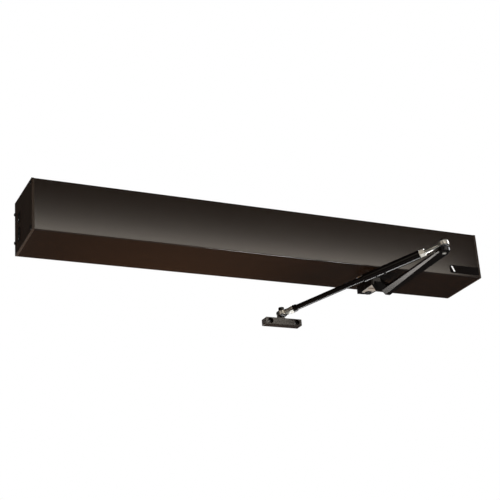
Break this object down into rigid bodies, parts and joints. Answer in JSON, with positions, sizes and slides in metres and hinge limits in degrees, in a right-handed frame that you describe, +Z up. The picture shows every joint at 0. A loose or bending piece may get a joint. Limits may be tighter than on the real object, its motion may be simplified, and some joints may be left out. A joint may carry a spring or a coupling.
{
  "type": "automatic door operator",
  "caption": "Surface mounted swing door operator: long box header with motor drive and closing spring, crank arm and telescopic ball-jointed rod to a door shoe.",
  "frame": {"origin": "on the wall plane, in the middle of the back plate and of its four wall bolts", "axes": "+X along the header to the right as seen from the room, +Y into the wall, +Z up"},
  "size_m": [1.0212, 0.319, 0.2148],
  "materials": {
    "bronze_anodised": "dark bronze anodised, satin",
    "bronze_plate": "dark bronze anodised sheet, satin",
    "mill_aluminium": "mill finish extrusion",
    "black_screw": "blackened",
    "black_plastic": "fine moulded grain",
    "rocker_plastic": "semi gloss",
    "strip_film": "satin film",
    "lens": "milky, smooth",
    "machined_steel": "machined",
    "cast_aluminium": "as cast",
    "motor_enamel": "enamel",
    "bearing_bronze": "sintered",
    "spring_steel": "oil tempered",
    "board_green": "solder mask",
    "terminal_green": "moulded",
    "relay_blue": "moulded",
    "capacitor_sleeve": "shrink sleeve",
    "grommet_rubber": "smooth",
    "arm_enamel": "satin black enamel",
    "clamp_zinc": "zinc plated, bronze tint",
    "bright_zinc": "bright zinc plated",
    "shoe_enamel": "satin dark enamel"
  },
  "bodies": {
    "header": {"back_plate": "mill_aluminium", "cover": "bronze_anodised", "left_end_plate": "bronze_plate", "right_end_plate": "bronze_plate", "switch_plate": "bronze_plate", "end_plate_screws": "black_screw", "cable_grommet": "grommet_rubber", "power_switch_body": "black_plastic", "mode_switch_body": "black_plastic", "label_strip": "strip_film", "status_lens": "lens", "gear_case": "cast_aluminium", "gear_case_lid": "cast_aluminium", "gear_case_bolts": "machined_steel", "lower_spindle_bush": "bearing_bronze", "upper_spindle_bush": "bearing_bronze", "idler_pin": "machined_steel", "motor_can": "motor_enamel", "motor_end_bell": "cast_aluminium", "rack_guide": "cast_aluminium", "spring_tube": "machined_steel", "closing_spring": "spring_steel", "spring_end_plug": "machined_steel", "spring_adjuster": "machined_steel", "spring_saddle": "cast_aluminium", "power_supply": "mill_aluminium", "control_board": "board_green", "board_standoffs": "machined_steel", "terminal_blocks": "terminal_green", "relays": "relay_blue", "capacitors": "capacitor_sleeve"},
    "output_shaft": {"spindle": "machined_steel", "output_gear": "machined_steel", "spring_pinion": "machined_steel", "main_arm": "arm_enamel", "arm_clamp": "clamp_zinc", "arm_clamp_screw": "black_screw", "elbow_stud": "bright_zinc", "elbow_cap": "arm_enamel"},
    "idler": {"idler_gear": "machined_steel"},
    "motor_rotor": {"motor_pinion": "machined_steel"},
    "spring_carriage": {"spring_rack": "machined_steel"},
    "power_key": {"power_rocker": "rocker_plastic"},
    "mode_key": {"mode_rocker": "rocker_plastic"},
    "elbow_pivot": {"elbow_ball": "machined_steel"},
    "rod_outer": {"elbow_rod_end": "bright_zinc", "elbow_lock_nut": "bright_zinc", "outer_tube": "arm_enamel", "tube_clamp_screws": "black_screw"},
    "rod_inner": {"inner_rod": "arm_enamel", "shoe_lock_nut": "bright_zinc", "shoe_rod_end": "bright_zinc"},
    "shoe_pivot": {"shoe_ball": "machined_steel"},
    "shoe": {"door_shoe": "shoe_enamel", "shoe_stud": "bright_zinc", "shoe_cap": "arm_enamel"}
  },
  "joints": [
    {"name": "arm_swing", "type": "hinge", "parent": "header", "child": "output_shaft", "pos_m": [0.246, -0.065, -0.06], "axis": [0, 0, -1], "range_deg": [0, 150], "stiffness_Nm_per_rad": 7, "springref_deg": -97.4},
    {"name": "idler_spin", "type": "hinge", "parent": "header", "child": "idler", "pos_m": [0.186, -0.065, -0.03], "axis": [0, 0, -1], "range_deg": [-493, 0]},
    {"name": "motor_spin", "type": "hinge", "parent": "header", "child": "motor_rotor", "pos_m": [0.147, -0.065, -0.01], "axis": [0, 0, -1], "range_deg": [0, 1643]},
    {"name": "rack_slide", "type": "slide", "parent": "header", "child": "spring_carriage", "axis": [1, 0, 0], "range_m": [0, 0.0524], "deforming": ["closing_spring"]},
    {"name": "power_rock", "type": "hinge", "parent": "header", "child": "power_key", "pos_m": [-0.506, -0.0345, 0.0106], "axis": [0, 1, 0], "range_deg": [-16, 0]},
    {"name": "mode_rock", "type": "hinge", "parent": "header", "child": "mode_key", "pos_m": [-0.506, -0.0345, -0.023], "axis": [0, 1, 0], "range_deg": [-8, 8]},
    {"name": "elbow_turn", "type": "hinge", "parent": "output_shaft", "child": "elbow_pivot", "pos_m": [0.278, -0.307, -0.066], "axis": [0, 0, 1], "range_deg": [-5, 120]},
    {"name": "elbow_tilt", "type": "hinge", "parent": "elbow_pivot", "child": "rod_outer", "pos_m": [0.278, -0.307, -0.066], "axis": [0.8003, 0.5996, 0], "range_deg": [-2, 8]},
    {"name": "rod_slide", "type": "slide", "parent": "rod_outer", "child": "rod_inner", "axis": [-0.5899, 0.7874, -0.1788], "range_m": [-0.012, 0.05]},
    {"name": "shoe_tilt", "type": "hinge", "parent": "rod_inner", "child": "shoe_pivot", "pos_m": [0.057, -0.012, -0.133], "axis": [0.8003, 0.5996, 0], "range_deg": [-12, 4]},
    {"name": "shoe_turn", "type": "hinge", "parent": "shoe_pivot", "child": "shoe", "pos_m": [0.057, -0.012, -0.133], "axis": [0, 0, 1], "range_deg": [-60, 40]}
  ],
  "couplings": [
    {"joint": "idler_spin", "follows": "arm_swing", "ratio": -3.2857},
    {"joint": "motor_spin", "follows": "arm_swing", "ratio": 10.952},
    {"joint": "rack_slide", "follows": "arm_swing", "m_per_rad": 0.02}
  ]
}
